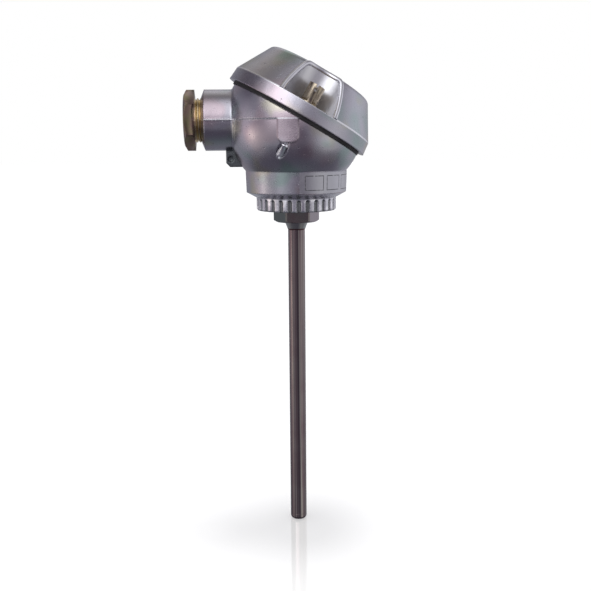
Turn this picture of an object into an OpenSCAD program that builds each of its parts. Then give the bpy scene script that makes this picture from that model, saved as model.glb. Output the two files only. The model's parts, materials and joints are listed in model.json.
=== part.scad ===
// Resistance thermometer with a connection head and a spring-loaded measuring insert.
// Z points up. The origin is on the probe's axis, where the bare stem begins under its weld.
// The cable entry points to -X, and the lid slopes down towards +X.

/* [Measuring insert] */
// Diameter of the insert's sheath
sheath_d = 6; // [5:0.25:7]
// Wall of the sheath
sheath_wall = 0.6; // [0.4:0.05:0.8]
// Thickness of the sheath's closed end
sheath_end = 0.8; // [0.5:0.1:2]
// Diameter of the sensing element
element_d = 2.8; // [1.6:0.1:3]
// Length of the sensing element
element_l = 12; // [5:1:30]
// Diameter of the insert's flange
flange_d = 42; // [41:0.2:42.4]
// Thickness of the flange
flange_t = 2.5; // [1.5:0.25:3]
// Distance of the two insert screws inside the flange's edge
insert_screw_inset = 4.5; // [4.25:0.25:5]
// Height of the posts that the flange sits on
post_h = 5; // [4:0.5:6]
// Diameter of the posts
post_d = 8; // [7:0.5:8.5]
// Length of the springs on the insert screws
spring_h = 9; // [8:0.5:10]
// Mean diameter of the springs
spring_d = 6.2; // [5.8:0.1:6.6]
// Wire diameter of the springs
spring_wire = 0.7; // [0.5:0.05:0.8]
// Turns of each spring
spring_turns = 4.5; // [3:0.5:6]
// Height of the potting where the leads come out
potting_h = 1.5; // [1:0.25:3]

/* [Terminals] */
// Distance of the ceramic block's edge inside the flange's edge
block_inset = 1.5; // [1:0.25:2.5]
// Height of the ceramic block
block_h = 12; // [10:0.5:13]
// Hole in the block's middle, for the leads
block_hole_d = 7.2; // [6:0.2:8]
// Diameter of the block's notches round the insert screws
notch_d = 11; // [10:0.5:11.5]
// Depth of the slots that the terminals lie in
slot_depth = 4.5; // [3:0.25:6]
// Width of a terminal
terminal_w = 5.8; // [5.2:0.1:6]
// Length of a terminal
terminal_l = 11.5; // [10.5:0.25:12]
// Height of a terminal
terminal_h = 6; // [5:0.25:7]
// Distance from the middle to a terminal's inner end
terminal_start = 5.5; // [5:0.25:6]
// Distance of a terminal's centre line from the X axis
terminal_y = 5; // [4.5:0.1:5.2]
// Spacing of a terminal's two screws
terminal_screw_gap = 5.6; // [5.2:0.1:6]
// Thread diameter of a terminal screw
terminal_screw_d = 3; // [2.5:0.1:3.2]
// Head diameter of a terminal screw
terminal_head_d = 4.8; // [4:0.1:5]
// Head height of a terminal screw
terminal_head_h = 2; // [1.5:0.1:2.5]
// Depth that a terminal screw reaches into its terminal
terminal_screw_reach = 4; // [3:0.25:4.5]
// Hole for the wire in a terminal's outer end
wire_hole_d = 2.4; // [1.6:0.1:2.6]
// Diameter of an insulated lead
lead_d = 1.1; // [0.8:0.1:1.4]
// Spacing of the leads where they leave the potting
lead_pitch = 2.4; // [2.2:0.1:2.8]
// Bend radius of a lead
lead_bend = 1.8; // [1.4:0.1:2.2]

/* [Stem] */
// Wall of the stem tube
stem_wall = 0.75; // [0.5:0.05:1.25]
// Length of the bare stem, from the weld to the tip
stem_l = 146.2; // [60:0.1:400]
// Thickness of the welded tip
tip_h = 3; // [2:0.25:5]
// Radial step of the tube's end, where it is turned down to enter the fitting
stem_step = 0.25; // [0.2:0.05:0.35]
// Height of the tip's spigot inside the tube
spigot_h = 2.5; // [1:0.25:5]
// Rounding of the tip's edge
tip_round = 1.5; // [0.5:0.1:1.8]

/* [Fitting] */
// Width across the hexagon's flats
hex_af = 19; // [18.5:0.25:22]
// Diameter that the hexagon's corners are turned to
hex_corner_d = 21.4; // [21:0.1:24]
// Height of the hexagon
hex_h = 5.6; // [4:0.2:8]
// Chamfer on the hexagon's lower corners
hex_chamfer = 0.8; // [0.4:0.1:1.2]
// Height of the weld cone under the hexagon
weld_h = 3.8; // [2:0.1:6]
// Upper diameter of the weld cone
weld_d = 11; // [10.5:0.25:14]
// Thread diameter of the fitting
fitting_thread_d = 18; // [14:0.5:18.5]
// Length of the thread in the neck
fitting_thread_l = 10; // [7:0.5:10.5]
// Depth of the stem tube above the hexagon's underside
stem_socket = 1; // [0.5:0.25:3]

/* [Neck and collar] */
// Diameter of the fluted ring
ring_d = 37.2; // [36:0.1:38]
// Height of the fluted ring
ring_h = 6.1; // [4.5:0.1:7]
// Chamfer on the fluted ring's lower edge
ring_chamfer = 0.6; // [0.2:0.1:1]
// Number of flutes
flute_count = 28; // [20:1:32]
// Radius of a flute
flute_r = 1.15; // [0.8:0.05:1.3]
// Distance of a flute's centre outside the ring's edge
flute_out = 0.15; // [0:0.05:0.4]
// Solid band above the flutes
flute_top = 0.5; // [0.2:0.1:1]
// Upper diameter of the collar's chamfer where it meets the ring
neck_d = 37.9; // [37.7:0.1:40]
// Height of the collar's chamfer
collar_chamfer_h = 2.3; // [2:0.1:5]
// Amount that the collar widens towards its top, across the collar
collar_taper = 0.6; // [0:0.1:1]
// Height of the collar
collar_h = 9.9; // [9:0.1:14]
// Wall of the collar
collar_wall = 1.9; // [1.7:0.05:2]
// Thickness of the floor above the neck's lower end
floor_t = 11.2; // [11:0.1:13]

/* [Bowl] */
// Distance that the bowl bulges out beyond the collar's upper edge
bowl_out = 7.9; // [7.5:0.1:8.3]
// Distance of the bowl's centre below the parting plane
bowl_drop = 2.1; // [1.6:0.1:2.6]
// Wall of the bowl
bowl_wall = 2.8; // [2:0.1:3.2]
// Radial step from the bowl out to the shoulder above the parting plane
shoulder_step = 0.6; // [0.2:0.1:1]
// Wall of the shoulder
shoulder_wall = 4; // [3:0.1:4.4]
// Width of the bulge round a lid screw's thread
bulge_w = 8.8; // [8:0.1:10.5]
// Height of the bulge below the parting plane
bulge_h = 10.2; // [8:0.2:11]
// Rounding of the bulge's lower corners
bulge_round = 3; // [1:0.25:3.75]
// Distance of the bulge's middle from the probe's axis, towards the cable entry
bulge_x = 5.2; // [3.6:0.1:5.5]
// Diameter of the boss round a lid screw's thread inside the bowl
thread_boss_d = 9.2; // [8:0.2:9.4]
// Depth of that boss below the rim
thread_boss_l = 15; // [12:0.5:16]

/* [Cable entry] */
// Diameter of the cable boss
boss_d = 27.4; // [26:0.2:29]
// Distance from the probe's axis to the cable boss's face
boss_reach = 43; // [41:0.5:50]
// Chamfer of the boss's face, along the boss
boss_chamfer_l = 1.4; // [0.5:0.1:2]
// Chamfer of the boss's face, across the boss
boss_chamfer_r = 3.4; // [1:0.1:3.6]
// Radius of the fillet where the boss meets the bowl
boss_fillet = 1.2; // [0.8:0.1:1.6]
// Depth of that fillet's outer end inside the bowl's outer radius
boss_sink = 1.7; // [1.4:0.1:2]
// Diameter of the cable boss inside the bowl
inner_boss_d = 24; // [23:0.5:25]
// Thickness of the boss's floor behind the threaded bore
boss_floor_t = 3; // [2:0.25:3.5]
// Width of the casting's parting ridge
ridge_w = 0.7; // [0.3:0.1:1]
// Height of the casting's parting ridge
ridge_h = 0.25; // [0.1:0.05:0.4]
// Thread diameter of the pressure screw
gland_thread_d = 20; // [18:0.5:20.5]
// Depth of the threaded bore in the cable boss
gland_bore_l = 15; // [14.5:0.5:15.5]
// Hole from the threaded bore into the bowl
cable_hole_d = 15; // [10:0.5:16]
// Width across the flats of the pressure screw
gland_af = 24; // [22:0.5:26]
// Height of the pressure screw's hexagon
gland_hex_h = 4.8; // [4:0.2:8]
// Amount turned off the hexagon's corners, across the corners
gland_corner_trim = 0.4; // [0.2:0.1:0.8]
// Height of the chamfer on the hexagon's outer corners
gland_chamfer = 1.2; // [0.6:0.1:1.6]
// Bore of the pressure screw
gland_bore_d = 14; // [10:0.5:14.5]
// Gap between the hexagon and the cable boss
gland_gap = 3; // [2.8:0.1:4]
// Length of the pressure screw's thread
gland_thread_l = 8.9; // [7.5:0.1:9]
// Bore of the slip ring
slip_bore_d = 14.8; // [12:0.2:16]
// Thickness of the slip ring
slip_ring_t = 1.2; // [0.8:0.1:1.4]
// Length of the rubber seal
seal_l = 5; // [4:0.25:5]
// Bore of the rubber seal
seal_bore_d = 9; // [5:0.5:12]

/* [Chain lug] */
// Thickness of the lug
lug_t = 3; // [2:0.25:5]
// Distance of the lug's outer edge outside the bowl's widest place
lug_out = 0.9; // [0.6:0.1:2]
// Length of the lug, from its outer edge to its root in the bowl's wall
lug_l = 8.7; // [8.3:0.1:9]
// Distance from the parting plane down to the lug's lower edge
lug_drop = 21.2; // [20.8:0.1:23]
// Diameter of the blind hole in the lug
lug_hole_d = 2.6; // [2:0.1:3.2]
// Thickness of the lug left behind that hole
lug_floor_t = 0.6; // [0.4:0.1:1]
// Distance of the hole from the lug's outer edge
lug_hole_in = 2.1; // [1.9:0.1:2.4]
// Distance from the parting plane down to the hole
lug_hole_drop = 17.6; // [17.2:0.1:18]
// Chamfer on the lug's outer lower corner
lug_chamfer = 1.8; // [0.5:0.1:2.4]

/* [Lid] */
// Slope of the lid
lid_tilt = 30; // [28:0.5:31]
// Overhang of the lid's rim outside the housing's shoulder
lid_overhang = 3.1; // [2.4:0.1:4]
// Height of the lid's rim
lid_rim_h = 5.8; // [5:0.1:7]
// Draft of the lid's rim, from its lower edge to its upper edge
lid_rim_draft = 0.6; // [0:0.1:1]
// Height of the lid's cone
lid_cone_h = 16.3; // [14:0.2:20]
// Angle between the cone's side and the lid's axis
lid_cone_angle = 30.7; // [24:0.1:32]
// Rounding of the lid's upper edge
lid_round = 3; // [1:0.25:5]
// Rise of the lid's domed top
lid_dome = 0.6; // [0.4:0.1:2]
// Wall of the lid
lid_wall = 2.6; // [1.8:0.1:3]
// Width of the gasket's seat inside the housing's shoulder
seat_w = 3.7; // [3:0.1:4.4]
// Thickness of the gasket
gasket_t = 1.3; // [0.8:0.1:2]
// Overhang of the gasket outside the housing's shoulder
gasket_out = 0.7; // [0:0.1:1]
// Distance of the gasket's lower face below the lid's pivot on the probe's axis
seat_drop = 0.1; // [0:0.05:0.5]

/* [Lid pockets and screws] */
// Radius of a pocket's upright wall
pocket_r = 12.3; // [11:0.1:13]
// Distance of a pocket's centre outside its lid screw
pocket_offset = 5.5; // [5:0.1:7]
// Wall behind a pocket
pocket_wall = 2.4; // [1.6:0.1:3]
// Thickness of a pocket's floor
pocket_floor = 3; // [2:0.1:4]
// Distance of a lid screw inside the outer radius of the housing's shoulder
lid_screw_inset = 4; // [3.6:0.1:4.2]
// Thread diameter of a lid screw
lid_screw_d = 4; // [3:0.25:4.5]
// Head diameter of a lid screw
lid_head_d = 7.3; // [6:0.1:7.6]
// Head height of a lid screw
lid_head_h = 8; // [4:0.2:9]
// Length of a lid screw's thread below the rim
lid_screw_reach = 18.3; // [16:0.5:22]
// Diameter of a lid screw's dog point
lid_point_d = 3; // [2:0.1:3.2]
// Length of a lid screw's dog point
lid_point_l = 5; // [2:0.5:8]
// Chamfer of a lid screw's dog point
lid_point_chamfer = 0.4; // [0.2:0.1:0.8]
// Diameter of the hole across a lid screw's head
seal_hole_d = 1.6; // [1:0.1:2]
// Distance of that hole below the head's top
seal_hole_drop = 2.3; // [2.1:0.1:2.8]
// Width of a screw slot
slot_w = 1; // [0.6:0.1:1.4]
// Depth of a screw slot
slot_d = 1; // [0.5:0.1:1.1]
// Diameter of a lid screw's washer
lid_washer_d = 8; // [7.6:0.1:8.4]
// Thickness of a lid screw's washer
lid_washer_t = 0.6; // [0.4:0.1:1]

/* [Ground screw] */
// Direction of the ground screw, seen from above
ground_angle = 135; // [120:5:150]
// Distance of the ground screw outside the collar's bore
ground_offset = 2.3; // [2:0.1:2.5]
// Distance from the parting plane down to the ground screw's boss
ground_drop = 11; // [10.5:0.1:11.5]
// Diameter of the ground screw's boss
ground_boss_d = 8; // [7.6:0.1:8.2]
// Depth of the ground screw's thread
ground_screw_l = 5; // [4:0.25:5.5]
// Head diameter of the ground and insert screws
m4_head_d = 6.4; // [6:0.1:6.6]
// Head height of the ground and insert screws
m4_head_h = 2.6; // [2:0.1:3]
// Thread diameter of the ground and insert screws
m4_d = 4; // [3.5:0.1:4.2]
// Diameter of the ground screw's washer
ground_washer_d = 7.2; // [6.8:0.1:7.4]
// Thickness of the ground screw's washer
ground_washer_t = 0.8; // [0.5:0.1:1]

/* [Label] */
// Height of the label on the collar
label_h = 9.2; // [6:0.1:9.4]
// Thickness of the label
label_t = 0.15; // [0.1:0.05:0.3]
// Direction of the label's first edge, seen from above
label_start = -90; // [-120:5:-60]
// Angle that the label covers
label_sweep = 112; // [60:2:160]

/* [Clearances] */
// Radial gap of the insert's flange in the collar
flange_gap = 0.3; // [0.2:0.05:0.5]
// Radial gap between the sheath and the stem tube
sheath_gap = 0.25; // [0.15:0.05:0.4]
// Radial gap of a thread in its hole
thread_gap = 0.1; // [0.05:0.01:0.15]
// Radial gap of a screw that passes through a plain hole
pass_gap = 0.3; // [0.2:0.05:0.4]
// Radial gap of pieces that are welded, potted or glued together
joint_gap = 0.02; // [0.01:0.01:0.05]
// Radial gap of the seal and the slip ring in the threaded bore
ring_gap = 0.25; // [0.15:0.05:0.35]
// Gap round a terminal in its slot
slot_gap = 0.1; // [0.05:0.01:0.15]

/* [Hidden] */
$fn = 96;
cut = 1;
deep = 100;
side_names = ["front", "back"];
side_signs = [-1, 1];

stem_bore_r = sheath_d / 2 + sheath_gap;
stem_r = stem_bore_r + stem_wall;
tube_end_z = -stem_l + tip_h;
tube_top_z = weld_h + stem_socket;
sheath_end_z = tube_end_z + spigot_h;
sheath_bore_r = sheath_d / 2 - sheath_wall;

hex_top_z = weld_h + hex_h;
ring_top_z = hex_top_z + ring_h;
collar_bore_r = flange_d / 2 + flange_gap;
collar_low_d = 2 * (collar_bore_r + collar_wall);
collar_top_d = collar_low_d + collar_taper;
bowl_r = collar_top_d / 2 + bowl_out;
collar_low_z = ring_top_z + collar_chamfer_h;
collar_top_z = collar_low_z + collar_h;
bowl_z = collar_top_z + sqrt(bowl_r * bowl_r - collar_top_d * collar_top_d / 4);
equator_z = bowl_z + bowl_drop;
floor_z = hex_top_z + floor_t;

flange_z = floor_z + post_h;
flange_top_z = flange_z + flange_t;
insert_screw_y = flange_d / 2 - insert_screw_inset;
insert_head_z = flange_top_z + spring_h;
potting_top_z = flange_top_z + potting_h;
block_d = flange_d - 2 * block_inset;
block_top_z = flange_top_z + block_h;
slot_floor_z = block_top_z - slot_depth;
terminal_top_z = slot_floor_z + terminal_h;
terminal_mid_z = slot_floor_z + terminal_h / 2;
terminal_mid_x = terminal_start + terminal_l / 2;
slot_half_w = terminal_w / 2 + slot_gap;

shoulder_r = bowl_r + shoulder_step;
lid_screw_out = shoulder_r - lid_screw_inset;
lid_opening_r = shoulder_r - seat_w;
gasket_r = shoulder_r + gasket_out;
pocket_out = lid_screw_out + pocket_offset;
seat_s = -seat_drop;
lid_low_s = seat_s + gasket_t;
lid_rim_s = lid_low_s + lid_rim_h;
lid_rim_r = shoulder_r + lid_overhang;
lid_top_s = lid_rim_s + lid_cone_h;
lid_cone_r = lid_rim_r - lid_rim_draft;
lid_top_r = lid_cone_r - lid_cone_h * tan(lid_cone_angle);
lid_washer_s = lid_rim_s + lid_washer_t;

boss_r = boss_d / 2;
boss_root = bowl_r - boss_sink;
boss_start = bowl_r / 2;
gland_bore_end = boss_reach - gland_bore_l;
inner_boss_reach = gland_bore_end - boss_floor_t;
gland_hex_x = boss_reach + gland_gap;
gland_nose_x = gland_hex_x - gland_thread_l;
lug_reach = bowl_r + lug_out;
lug_root = lug_reach - lug_l;
lug_hole_x = lug_reach - lug_hole_in;
ground_z = equator_z - ground_drop;
ground_out = collar_bore_r + ground_offset;

// Signs of terminal i's place along X and Y, with i from 1 to 4
function sign_x(i) = i <= 2 ? -1 : 1;
function sign_y(i) = i % 2 == 1 ? -1 : 1;

// Places its children in the lid's frame: the lid's axis is Z, and Z is 0 at the parting plane
module lid_frame() {
    translate([0, 0, equator_z]) rotate([0, lid_tilt, 0]) children();
}

// Places its children along the cable entry: Z points out of the boss, and is 0 at the probe's axis
module entry_frame() {
    translate([0, 0, equator_z]) rotate([0, -90, 0]) children();
}

// Places its children at the ground screw's boss
module ground_frame() {
    rotate([0, 0, ground_angle]) translate([ground_out, 0, ground_z]) children();
}

// A ring that stands on the XY plane
module ring(outer_r, inner_r, h) {
    difference() {
        cylinder(r = outer_r, h = h);
        translate([0, 0, -cut]) cylinder(r = inner_r, h = h + 2 * cut);
    }
}

// A hexagon with its lower and upper corners turned off, flats towards +Y and -Y
module turned_hex(af, corner_d, h, low_chamfer, top_chamfer) {
    corner_r = corner_d / 2;
    intersection() {
        cylinder(r = af / sqrt(3), h = h, $fn = 6);
        rotate_extrude() polygon([
            [0, 0], [corner_r - low_chamfer / tan(30), 0], [corner_r, low_chamfer],
            [corner_r, h - top_chamfer], [corner_r - top_chamfer / tan(30), h], [0, h]
        ]);
    }
}

// A screw with its head's underside at Z = 0, its head above and its shank below
module slotted_screw(shank_d, shank_l, head_d, head_h) {
    difference() {
        union() {
            cylinder(d = head_d, h = head_h);
            translate([0, 0, -shank_l]) cylinder(d = shank_d - 2 * thread_gap, h = shank_l + cut / 2);
        }
        translate([0, 0, head_h]) cube([head_d + cut, slot_w, 2 * slot_d], center = true);
    }
}

// ---- Casting ----

// The outline of the bulges seen from the front, as a block right through the head
module bulge_block() {
    side_h = bulge_h - bulge_round;
    corner_x = bulge_w / 2 - bulge_round;
    translate([-bulge_x, 0, equator_z]) {
        translate([-bulge_w / 2, -deep, -side_h]) cube([bulge_w, 2 * deep, side_h]);
        translate([-corner_x, -deep, -bulge_h]) cube([2 * corner_x, 2 * deep, bulge_h]);
        for (side = side_signs) translate([side * corner_x, 0, -side_h]) rotate([90, 0, 0])
            cylinder(r = bulge_round, h = 2 * deep, center = true);
    }
}

module bowl_body() {
    translate([0, 0, bowl_z]) intersection() {
        sphere(r = bowl_r);
        translate([0, 0, bowl_drop - deep]) cylinder(r = deep, h = deep);
    }
    translate([0, 0, equator_z]) intersection() {
        sphere(r = shoulder_r);
        cylinder(r = deep, h = deep);
    }
    intersection() {
        translate([0, 0, equator_z - bulge_h]) cylinder(r = shoulder_r, h = bulge_h);
        bulge_block();
        difference() {
            translate([0, 0, equator_z - deep / 2]) cylinder(r = deep, h = deep);
            translate([0, 0, equator_z - deep / 2 - cut]) cylinder(r = collar_bore_r, h = deep + 2 * cut);
        }
    }
}

module collar_body() {
    top_z = collar_top_z + cut / 2;
    rotate_extrude() polygon([
        [0, ring_top_z - cut / 2], [neck_d / 2 - cut / 2, ring_top_z - cut / 2],
        [neck_d / 2 - cut / 2, ring_top_z], [neck_d / 2, ring_top_z],
        [collar_low_d / 2, collar_low_z], [collar_top_d / 2, collar_top_z],
        [collar_top_d / 2, top_z], [0, top_z]
    ]);
}

module fluted_ring() {
    r = ring_d / 2;
    flute_h = ring_h - flute_top - flute_r;
    translate([0, 0, hex_top_z]) difference() {
        rotate_extrude() polygon([
            [0, 0], [r - ring_chamfer, 0], [r, ring_chamfer], [r, ring_h + cut / 4], [0, ring_h + cut / 4]
        ]);
        for (i = [0 : flute_count - 1]) {
            rotate([0, 0, i * 360 / flute_count]) translate([r + flute_out, 0, 0]) {
                translate([0, 0, -cut]) cylinder(r = flute_r, h = flute_h + cut);
                translate([0, 0, flute_h]) sphere(r = flute_r);
            }
        }
    }
}

module cable_boss() {
    fillet_end = boss_root - boss_fillet;
    fillet_r = boss_r + boss_fillet;
    entry_frame() {
        rotate_extrude() polygon([
            [0, boss_start], [boss_r, boss_start], [boss_r, boss_reach - boss_chamfer_l],
            [boss_r - boss_chamfer_r, boss_reach], [0, boss_reach]
        ]);
        rotate_extrude() difference() {
            translate([0, boss_start]) square([fillet_r, boss_root - boss_start]);
            translate([fillet_r, boss_root]) circle(r = boss_fillet);
            translate([fillet_r - cut / 100, fillet_end]) square([cut, boss_fillet + cut]);
        }
        translate([-ridge_w / 2, -boss_r - ridge_h, boss_root - boss_fillet])
            cube([ridge_w, boss_d + 2 * ridge_h, boss_reach - boss_chamfer_l - fillet_end]);
    }
}

module chain_lug() {
    translate([0, lug_t / 2, equator_z]) rotate([90, 0, 0]) linear_extrude(lug_t) polygon([
        [-lug_reach, -boss_r + cut], [-lug_reach, -lug_drop + lug_chamfer],
        [-lug_reach + lug_chamfer, -lug_drop], [-lug_root, -lug_drop], [-lug_root, -boss_r + cut]
    ]);
}

module casting_outside() {
    intersection() {
        bowl_body();
        lid_frame() translate([0, 0, seat_s - deep]) cylinder(r = deep, h = deep);
    }
    collar_body();
    fluted_ring();
    intersection() {
        cable_boss();
        lid_frame() translate([0, 0, seat_s - deep]) cylinder(r = deep, h = deep);
    }
    chain_lug();
}

module casting_inside() {
    difference() {
        union() {
            intersection() {
                union() {
                    translate([0, 0, bowl_z]) sphere(r = bowl_r - bowl_wall);
                    translate([0, 0, equator_z]) sphere(r = shoulder_r - shoulder_wall);
                }
                translate([0, 0, floor_z]) cylinder(r = deep, h = deep);
            }
            translate([0, 0, floor_z]) cylinder(r = collar_bore_r, h = bowl_z - floor_z);
        }
        for (side = side_signs) {
            lid_frame() translate([0, side * lid_screw_out, seat_s - thread_boss_l])
                cylinder(d = thread_boss_d, h = thread_boss_l + deep);
            translate([0, side * insert_screw_y, floor_z - cut]) cylinder(d = post_d, h = post_h + cut);
        }
        entry_frame() translate([0, 0, inner_boss_reach]) cylinder(d = inner_boss_d, h = deep);
        difference() {
            ground_frame() translate([0, 0, -deep]) cylinder(d = ground_boss_d, h = deep);
            cylinder(r = collar_bore_r, h = deep);
        }
    }
    ground_frame() cylinder(d = ground_boss_d, h = ground_drop / 2);
}

module housing() {
    color("lightsteelblue") difference() {
        casting_outside();
        casting_inside();
        for (side = side_signs) {
            lid_frame() translate([0, side * lid_screw_out, -deep / 2]) cylinder(d = lid_screw_d, h = deep);
            translate([0, side * insert_screw_y, floor_z - cut]) cylinder(d = m4_d, h = post_h + 2 * cut);
        }
        ground_frame() translate([0, 0, -ground_screw_l - cut / 2]) cylinder(d = m4_d, h = deep);
        entry_frame() {
            translate([0, 0, gland_bore_end]) cylinder(d = gland_thread_d, h = deep);
            translate([0, 0, boss_start]) cylinder(d = cable_hole_d, h = deep);
        }
        translate([0, 0, hex_top_z - cut]) cylinder(d = fitting_thread_d, h = floor_t + 2 * cut);
        translate([-lug_hole_x, lug_t / 2 - lug_floor_t, equator_z - lug_hole_drop]) rotate([90, 0, 0])
            cylinder(d = lug_hole_d, h = lug_t);
    }
}

module type_label() {
    mid_z = (collar_low_z + collar_top_z) / 2;
    slope = (collar_top_d - collar_low_d) / 2 / collar_h;
    inner_r = (collar_top_d + collar_low_d) / 4 + joint_gap;
    rise = slope * label_h / 2;
    color("whitesmoke") rotate([0, 0, label_start]) translate([0, 0, mid_z])
        rotate_extrude(angle = label_sweep) polygon([
            [inner_r - rise, -label_h / 2], [inner_r - rise + label_t, -label_h / 2],
            [inner_r + rise + label_t, label_h / 2], [inner_r + rise, label_h / 2]
        ]);
}

// ---- Lid ----

// The lid's outline, with its rounded upper edge and domed top, to be turned round the lid's axis
module lid_outline() {
    edge_s = lid_top_s - lid_round;
    edge_r = lid_top_r + lid_round * tan(lid_cone_angle) - lid_round / cos(lid_cone_angle);
    edge_steps = 8;
    edge_points = [for (k = [0 : edge_steps])
        let (a = lid_cone_angle + (90 - lid_cone_angle) * k / edge_steps)
        [edge_r + lid_round * cos(a), edge_s + lid_round * sin(a)]];
    dome_r = (edge_r * edge_r + lid_dome * lid_dome) / (2 * lid_dome);
    dome_angle = asin(edge_r / dome_r);
    dome_steps = 6;
    dome_points = [for (k = [1 : dome_steps])
        let (a = dome_angle * (1 - k / dome_steps))
        [dome_r * sin(a), lid_top_s + lid_dome - dome_r + dome_r * cos(a)]];
    rim_points = [[0, lid_low_s], [lid_rim_r, lid_low_s], [lid_cone_r, lid_rim_s]];
    polygon(concat(rim_points, edge_points, dome_points));
}

module lid_inside() {
    wall_out = lid_wall / cos(lid_cone_angle);
    turn_s = lid_rim_s + (lid_cone_r - wall_out - lid_opening_r) / tan(lid_cone_angle);
    top_s = lid_top_s - lid_wall;
    top_r = lid_opening_r - (top_s - turn_s) * tan(lid_cone_angle);
    difference() {
        rotate_extrude() polygon([
            [0, lid_low_s - cut], [lid_opening_r, lid_low_s - cut], [lid_opening_r, turn_s],
            [top_r, top_s], [0, top_s]
        ]);
        for (side = side_signs) {
            translate([0, side * pocket_out, lid_rim_s - pocket_floor])
                cylinder(r = pocket_r + pocket_wall, h = deep);
            translate([0, side * lid_screw_out, 0]) cylinder(d = thread_boss_d, h = lid_rim_s);
        }
    }
}

module lid() {
    color("lightsteelblue") lid_frame() difference() {
        rotate_extrude() lid_outline();
        lid_inside();
        for (side = side_signs) {
            translate([0, side * pocket_out, lid_rim_s]) cylinder(r = pocket_r, h = deep);
            translate([0, side * lid_screw_out, -cut])
                cylinder(r = lid_screw_d / 2 + pass_gap, h = lid_rim_s + 2 * cut);
        }
    }
}

module lid_gasket() {
    color("black") lid_frame() translate([0, 0, seat_s]) difference() {
        union() {
            ring(gasket_r, lid_opening_r, gasket_t);
            for (side = side_signs)
                translate([0, side * lid_screw_out, 0]) cylinder(d = thread_boss_d, h = gasket_t);
        }
        for (side = side_signs) translate([0, side * lid_screw_out, -cut])
            cylinder(r = lid_screw_d / 2 + pass_gap, h = gasket_t + 2 * cut);
    }
}

module lid_screw(side) {
    shank_r = lid_screw_d / 2 - thread_gap;
    point_r = lid_point_d / 2;
    shank_l = lid_washer_s - seat_s + lid_screw_reach;
    color("khaki") lid_frame() translate([0, side * lid_screw_out, lid_washer_s]) difference() {
        union() {
            cylinder(d = lid_head_d, h = lid_head_h);
            translate([0, 0, -shank_l + lid_point_l]) cylinder(r = shank_r, h = shank_l);
            translate([0, 0, -shank_l + lid_point_chamfer]) cylinder(r = point_r, h = lid_point_l);
            translate([0, 0, -shank_l])
                cylinder(r1 = point_r - lid_point_chamfer, r2 = point_r, h = lid_point_chamfer);
        }
        translate([0, 0, lid_head_h]) cube([slot_w, lid_head_d + cut, 2 * slot_d], center = true);
        translate([0, 0, lid_head_h - seal_hole_drop]) rotate([90, 0, 0])
            cylinder(d = seal_hole_d, h = lid_head_d + cut, center = true);
    }
}

module lid_washer(side) {
    color("khaki") lid_frame() translate([0, side * lid_screw_out, lid_rim_s])
        ring(lid_washer_d / 2, lid_screw_d / 2 + thread_gap, lid_washer_t);
}

// ---- Cable gland ----

module pressure_screw() {
    corner_d = gland_af * 2 / sqrt(3) - gland_corner_trim;
    thread_r = gland_thread_d / 2 - thread_gap;
    color("rosybrown") entry_frame() difference() {
        union() {
            translate([0, 0, gland_hex_x]) turned_hex(gland_af, corner_d, gland_hex_h, 0, gland_chamfer);
            translate([0, 0, gland_nose_x]) cylinder(r = thread_r, h = gland_thread_l + cut / 2);
        }
        cylinder(d = gland_bore_d, h = deep);
    }
}

module slip_ring() {
    color("gold") entry_frame() translate([0, 0, gland_nose_x - slip_ring_t])
        ring(gland_thread_d / 2 - ring_gap, slip_bore_d / 2, slip_ring_t);
}

module cable_seal() {
    color("dimgray") entry_frame() translate([0, 0, gland_bore_end])
        ring(gland_thread_d / 2 - ring_gap, seal_bore_d / 2, seal_l);
}

// ---- Fitting and stem ----

module fitting() {
    color("dimgray") difference() {
        union() {
            translate([0, 0, weld_h]) turned_hex(hex_af, hex_corner_d, hex_h, hex_chamfer, 0);
            translate([0, 0, hex_top_z - cut])
                cylinder(r = fitting_thread_d / 2 - thread_gap, h = fitting_thread_l + cut);
            cylinder(r1 = stem_r, r2 = weld_d / 2, h = weld_h);
            translate([0, 0, weld_h]) cylinder(d = weld_d, h = cut);
        }
        translate([0, 0, -cut]) cylinder(r = stem_r - stem_step + joint_gap, h = tube_top_z + cut);
        cylinder(r = stem_bore_r, h = deep);
    }
}

module stem_tube() {
    color("gray") difference() {
        union() {
            translate([0, 0, tube_end_z]) cylinder(r = stem_r, h = -tube_end_z);
            translate([0, 0, -cut]) cylinder(r = stem_r - stem_step, h = tube_top_z + cut);
        }
        translate([0, 0, -deep - stem_l]) cylinder(r = stem_bore_r, h = stem_l + 2 * deep);
    }
}

module stem_tip() {
    flat_r = stem_r - tip_round;
    color("gray") translate([0, 0, -stem_l]) {
        rotate_extrude() {
            square([flat_r, tip_h]);
            translate([0, tip_round]) square([stem_r, tip_h - tip_round]);
            intersection() {
                translate([flat_r, tip_round]) circle(r = tip_round);
                translate([flat_r, 0]) square(tip_round);
            }
        }
        translate([0, 0, tip_h - cut]) cylinder(r = stem_bore_r - joint_gap, h = spigot_h + cut);
    }
}

// ---- Measuring insert ----

module insert_flange() {
    color("silver") translate([0, 0, flange_z]) difference() {
        cylinder(d = flange_d, h = flange_t);
        translate([0, 0, -cut]) cylinder(r = sheath_d / 2 + joint_gap, h = deep);
        for (side = side_signs) translate([0, side * insert_screw_y, -cut])
            cylinder(r = m4_d / 2 + pass_gap, h = deep);
    }
}

module insert_sheath() {
    color("silver") translate([0, 0, sheath_end_z]) difference() {
        cylinder(d = sheath_d, h = flange_top_z - sheath_end_z);
        translate([0, 0, sheath_end]) cylinder(r = sheath_bore_r, h = stem_l + deep);
    }
}

module insert_core() {
    low_z = sheath_end_z + sheath_end;
    color("white") difference() {
        translate([0, 0, low_z]) cylinder(r = sheath_bore_r - joint_gap, h = flange_top_z - low_z);
        translate([0, 0, low_z - cut]) cylinder(r = element_d / 2 + joint_gap, h = element_l + cut);
    }
}

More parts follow.
